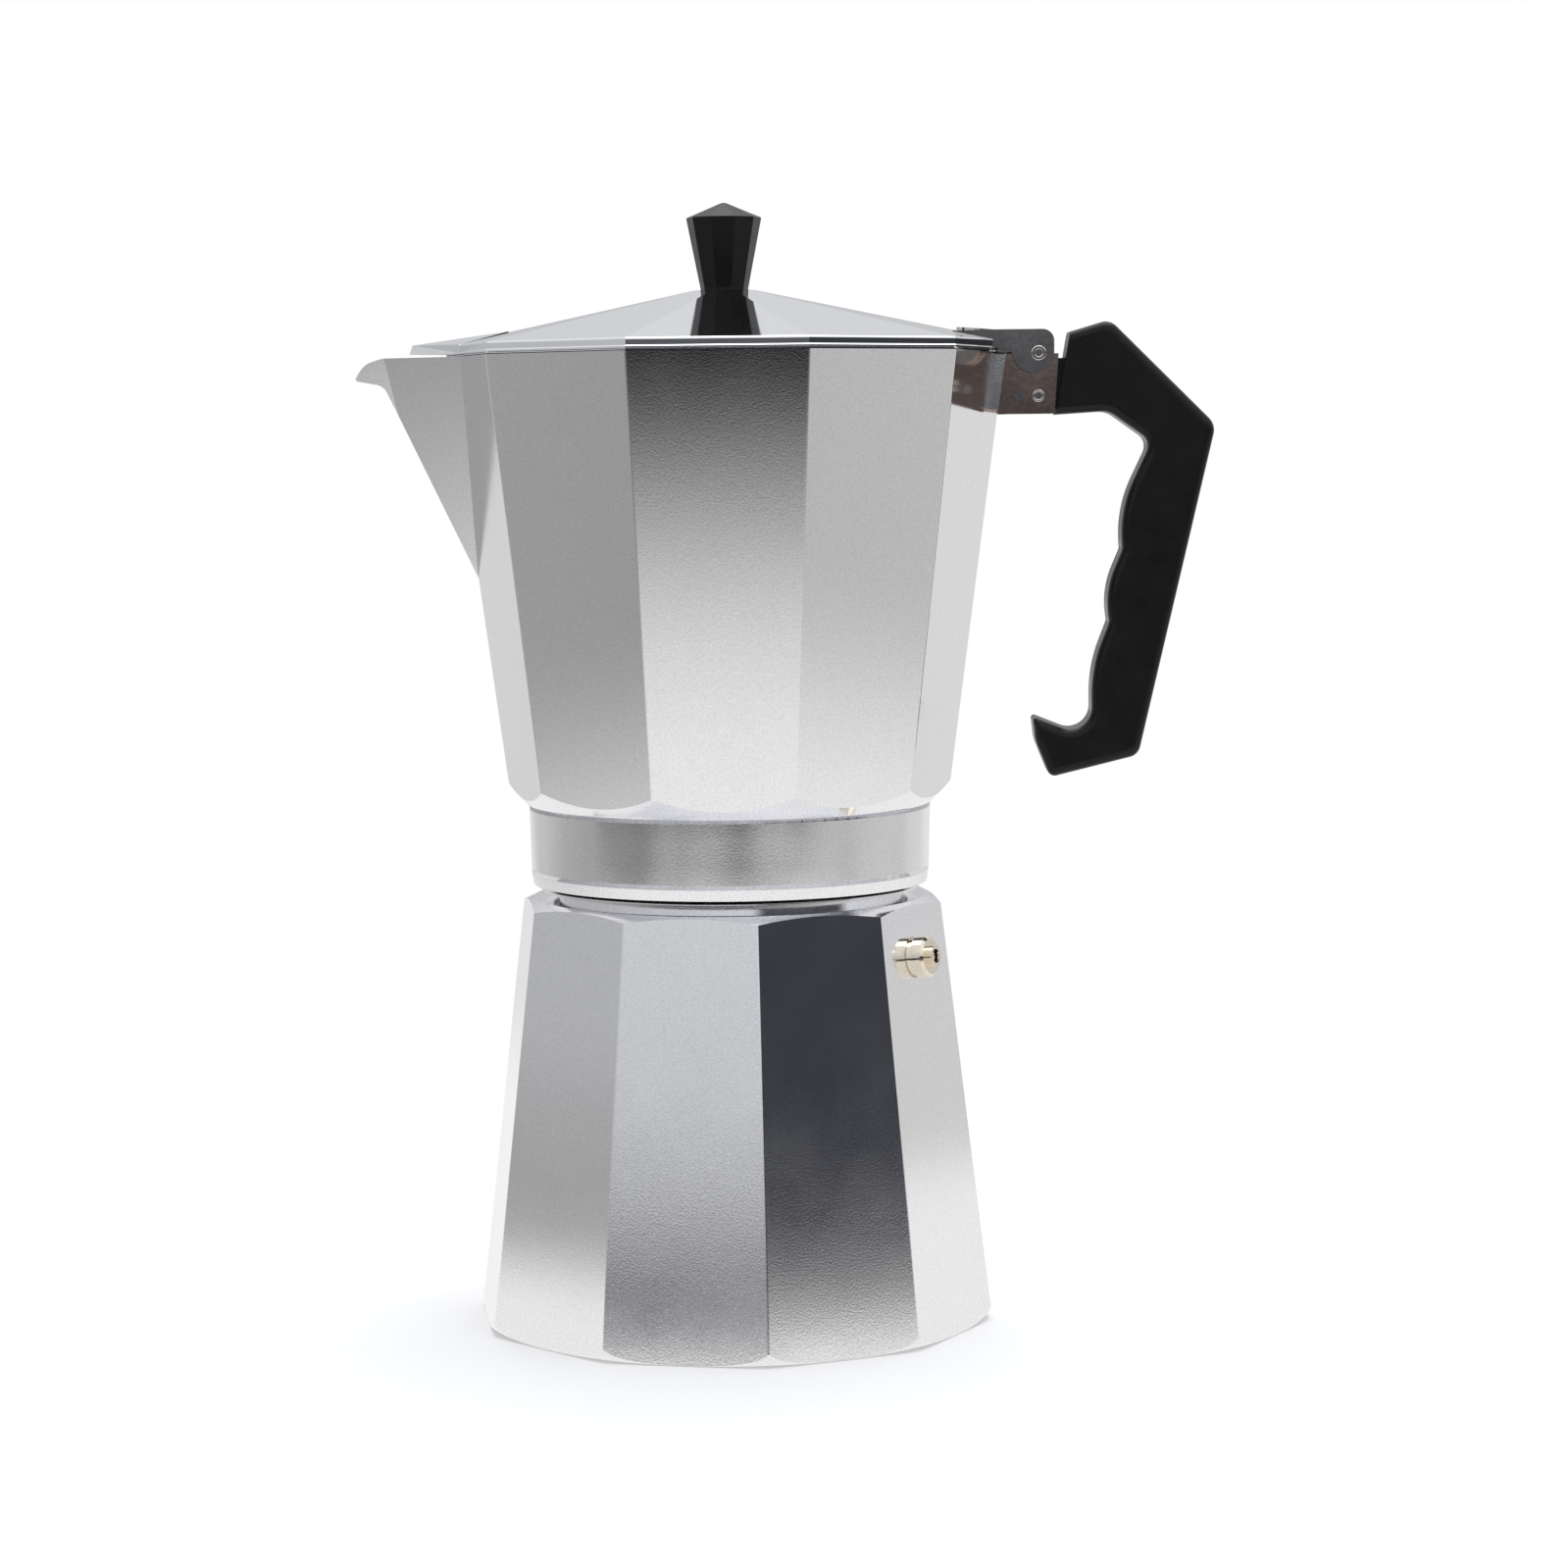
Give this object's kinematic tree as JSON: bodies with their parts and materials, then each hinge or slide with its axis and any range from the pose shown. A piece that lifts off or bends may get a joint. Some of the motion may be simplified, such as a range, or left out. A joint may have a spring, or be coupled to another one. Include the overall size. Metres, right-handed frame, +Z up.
{
  "type": "moka pot",
  "caption": "Faceted aluminium stovetop coffee pot: screw-on jug with V spout and hinged lid, black handle and knob, boiler with safety valve, and lift-out coffee funnel.",
  "frame": {"origin": "centre of the boiler's flat base, on the surface it stands on", "axes": "+Z up the pot's axis, +X towards the handle, -X towards the spout"},
  "size_m": [0.2214, 0.1376, 0.29],
  "materials": {
    "cast_aluminium": "cast and polished, fine grain",
    "polished_aluminium": "bright polish",
    "spun_aluminium": "spun, satin",
    "stainless_sheet": "bright polished sheet",
    "spring_steel": "plain",
    "valve_nickel": "turned, nickel plated brass",
    "black_plastic": "moulded, satin",
    "gasket_rubber": "soft, matt"
  },
  "bodies": {
    "boiler": {"boiler": "cast_aluminium", "valve_body": "valve_nickel", "valve_washer": "valve_nickel", "valve_seat": "valve_nickel", "valve_spring": "spring_steel"},
    "valve_pin": {"valve_pin": "valve_nickel"},
    "funnel": {"funnel_basket": "spun_aluminium", "funnel_stem": "spun_aluminium", "funnel_sieve": "spun_aluminium"},
    "seal": {"gasket": "gasket_rubber", "filter_plate": "spun_aluminium"},
    "jug": {"collector": "cast_aluminium", "handle_bracket": "stainless_sheet", "bracket_rivet": "stainless_sheet", "handle": "black_plastic", "handle_rivet": "stainless_sheet", "hinge_pin": "stainless_sheet"},
    "lid": {"lid": "polished_aluminium", "lid_bracket": "stainless_sheet", "lid_rivets": "stainless_sheet", "knob": "black_plastic", "knob_washer": "spring_steel", "knob_screw": "spring_steel"}
  },
  "joints": [
    {"name": "jug_lift", "type": "slide", "parent": "boiler", "child": "seal", "axis": [0, 0, 1], "range_m": [0, 0.012]},
    {"name": "jug_turn", "type": "hinge", "parent": "seal", "child": "jug", "pos_m": [0, 0, 0.118], "axis": [0, 0, 1], "range_deg": [0, 1440]},
    {"name": "funnel_lift", "type": "slide", "parent": "boiler", "child": "funnel", "axis": [0, 0, 1], "range_m": [0, 0.008]},
    {"name": "lid_hinge", "type": "hinge", "parent": "jug", "child": "lid", "pos_m": [0.0805, 0, 0.2505], "axis": [0, 1, 0], "range_deg": [0, 98]},
    {"name": "valve_release", "type": "slide", "parent": "boiler", "child": "valve_pin", "axis": [0.8814, -0.4588, 0.1127], "range_m": [0, 0.0012], "stiffness_N_per_m": 600, "springref_m": -0.002, "deforming": ["valve_spring"]}
  ],
  "couplings": [
    {"joint": "jug_lift", "follows": "jug_turn", "m_per_rad": 0.00047746},
    {"joint": "funnel_lift", "follows": "jug_turn", "m_per_rad": 0.00031831}
  ]
}
